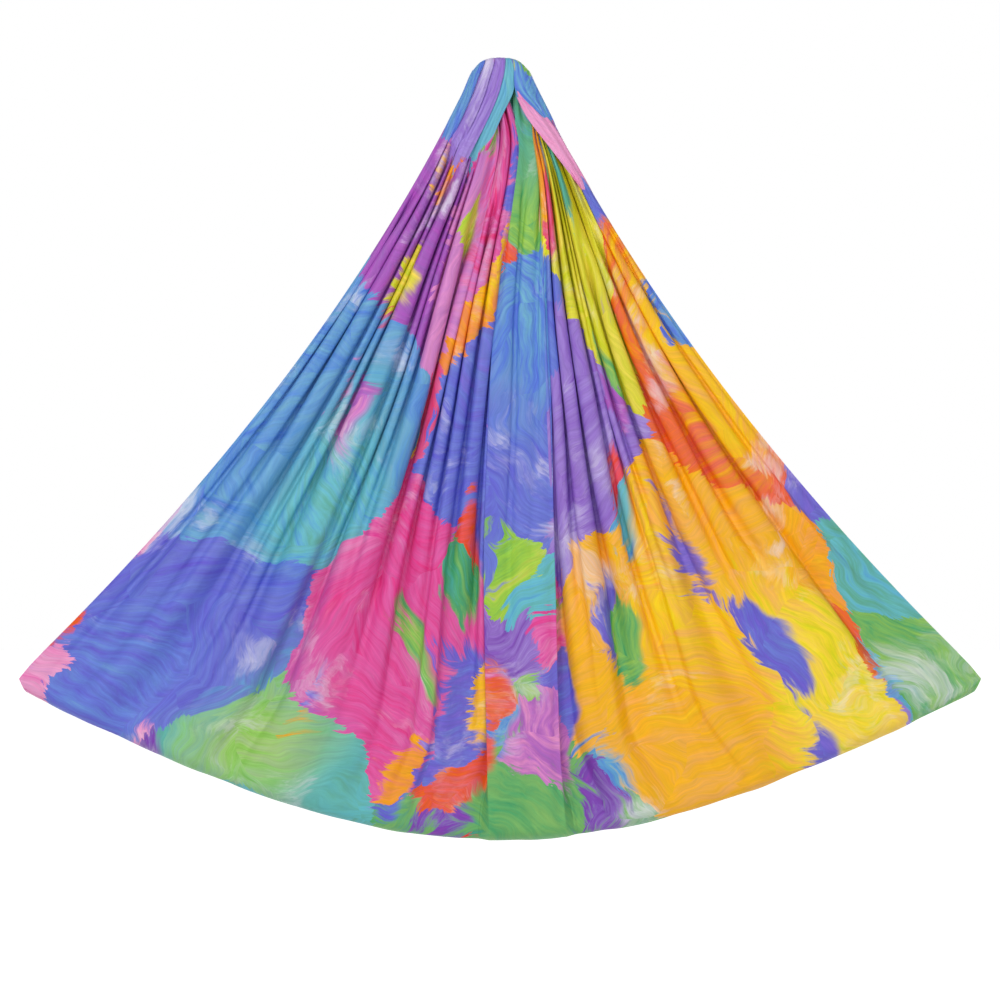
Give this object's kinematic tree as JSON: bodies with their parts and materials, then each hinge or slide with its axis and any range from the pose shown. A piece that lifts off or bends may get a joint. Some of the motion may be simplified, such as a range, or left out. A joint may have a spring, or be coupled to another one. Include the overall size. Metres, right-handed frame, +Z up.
{
  "type": "aerial hammock",
  "caption": "Wide fabric sheet hung as a doubled sling from one gathered, rounded head, with a screw-gate carabiner held inside the head.",
  "frame": {"origin": "the hang point: the inner crown of the carabiner's top bow, on the middle planes of the sling", "axes": "+X across the sling to the viewer's right, the front leg of the sling faces -Y, +Z up"},
  "size_m": [2.5633, 0.1406, 2.0849],
  "materials": {
    "plated_steel": "satin",
    "rivet_steel": "satin",
    "spring_wire": "polished",
    "anodised_aluminium": "satin",
    "printed_tricot": "satin"
  },
  "bodies": {
    "carabiner": {"carabiner_body": "plated_steel", "gate_pin": "rivet_steel"},
    "gate": {"carabiner_gate": "plated_steel", "latch_pin": "rivet_steel", "push_rod": "rivet_steel", "gate_spring": "spring_wire"},
    "sleeve": {"gate_sleeve": "anodised_aluminium"},
    "sling": {"back_leg": "printed_tricot", "seat_fold": "printed_tricot", "front_bight": "printed_tricot", "back_bight": "printed_tricot", "choke_collar": "printed_tricot", "front_tail": "printed_tricot", "back_tail": "printed_tricot"},
    "front": {"front_leg": "printed_tricot"}
  },
  "joints": [
    {"name": "gate_hinge", "type": "hinge", "parent": "carabiner", "child": "gate", "pos_m": [0.029, 0, -0.073], "axis": [0, -1, 0], "range_deg": [0, 28], "stiffness_Nm_per_rad": 0.2, "springref_deg": -17.19},
    {"name": "sleeve_slide", "type": "slide", "parent": "gate", "child": "sleeve", "axis": [0, 0, 1], "range_m": [0, 0.014]},
    {"name": "sling_swing", "type": "hinge", "parent": "carabiner", "child": "sling", "pos_m": [0, 0, -0.102], "axis": [1, 0, 0], "range_deg": [-8, 8]},
    {"name": "legs_part", "type": "hinge", "parent": "sling", "child": "front", "pos_m": [0, 0, 0.015], "axis": [-1, 0, 0], "range_deg": [0, 8]}
  ]
}
